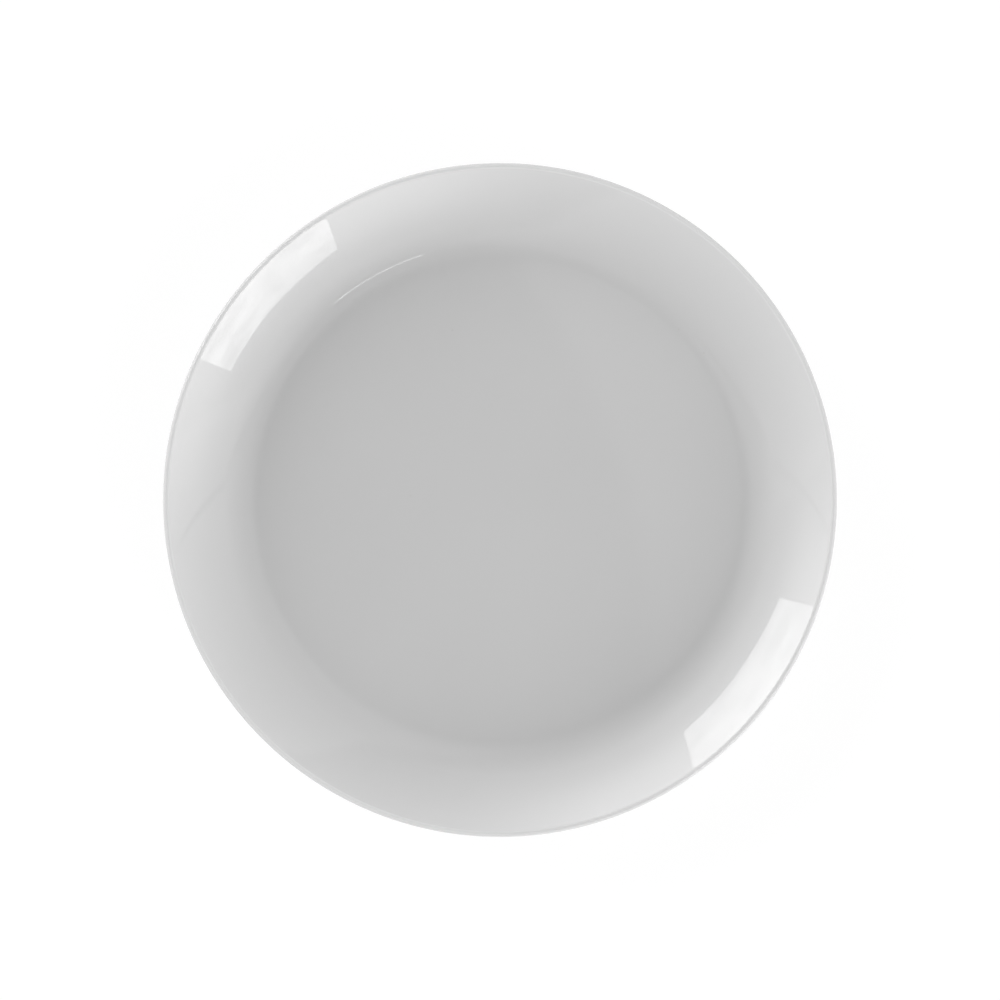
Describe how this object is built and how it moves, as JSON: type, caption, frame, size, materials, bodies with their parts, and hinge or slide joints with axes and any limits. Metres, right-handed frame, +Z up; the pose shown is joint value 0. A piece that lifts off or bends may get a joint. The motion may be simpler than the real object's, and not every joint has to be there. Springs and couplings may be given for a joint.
{
  "type": "coupe dinner plate",
  "caption": "Round white coupe dinner plate: a wide flat well that turns up into a curved rim with a rounded lip, glazed all over but for the standing face of its low foot ring.",
  "frame": {"origin": "centre of the foot's standing face, at table height", "axes": "+Z up along the plate's axis; +X to the right and +Y up the page as the picture shows the plate from above"},
  "size_m": [0.27, 0.27, 0.0257],
  "materials": {
    "biscuit": "matt, unglazed",
    "glaze": "gloss"
  },
  "bodies": {
    "root": {"body": "biscuit", "face_glaze": "glaze", "base_glaze": "glaze"}
  },
  "joints": []
}
